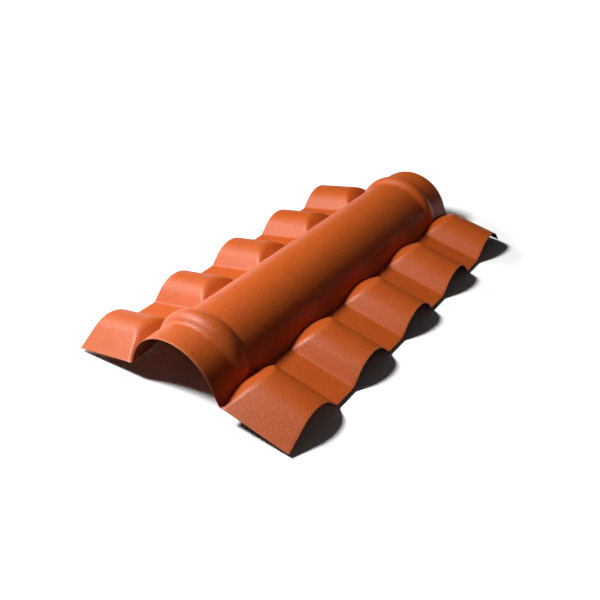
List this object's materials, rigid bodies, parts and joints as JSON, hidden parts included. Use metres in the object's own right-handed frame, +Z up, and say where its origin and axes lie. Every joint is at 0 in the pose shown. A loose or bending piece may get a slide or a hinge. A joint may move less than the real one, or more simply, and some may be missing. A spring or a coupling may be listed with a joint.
{
  "type": "roof ridge tile",
  "caption": "Half-round ridge tile with wavy wings and a lapping ring at each end, moulded in one thin shell to cap the ridge of a wavy sheet roof.",
  "frame": {"origin": "middle of the footprint, at the level on which the outer edges of the wings rest", "axes": "+X along the ridge from the near end, which laps over the next tile, to the far end; +Y across the ridge; +Z up"},
  "size_m": [0.8794, 0.484, 0.1315],
  "materials": {
    "shell": "satin terracotta with a fine sand grain"
  },
  "bodies": {
    "root": {"ridge_tile": "shell"}
  },
  "joints": []
}
